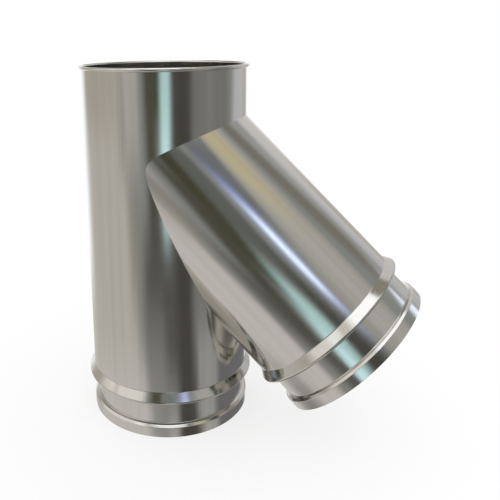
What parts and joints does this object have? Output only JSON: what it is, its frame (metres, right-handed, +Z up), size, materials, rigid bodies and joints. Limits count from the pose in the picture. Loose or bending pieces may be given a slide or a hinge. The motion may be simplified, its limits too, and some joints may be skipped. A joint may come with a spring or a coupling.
{
  "type": "angled tee",
  "caption": "Straight thin-walled steel tube with a branch leaving it downwards at 45 degrees, a curled socket rim on top and rolled stop beads at the spigot ends.",
  "frame": {"origin": "centre of the run tube's lower open end", "axes": "+Z up the run tube towards its curled socket rim; +X towards the side that the branch leans to"},
  "size_m": [0.3105, 0.1592, 0.3317],
  "materials": {
    "stainless_steel": "bright annealed sheet"
  },
  "bodies": {
    "root": {"run_tube": "stainless_steel", "branch_tube": "stainless_steel"}
  },
  "joints": []
}
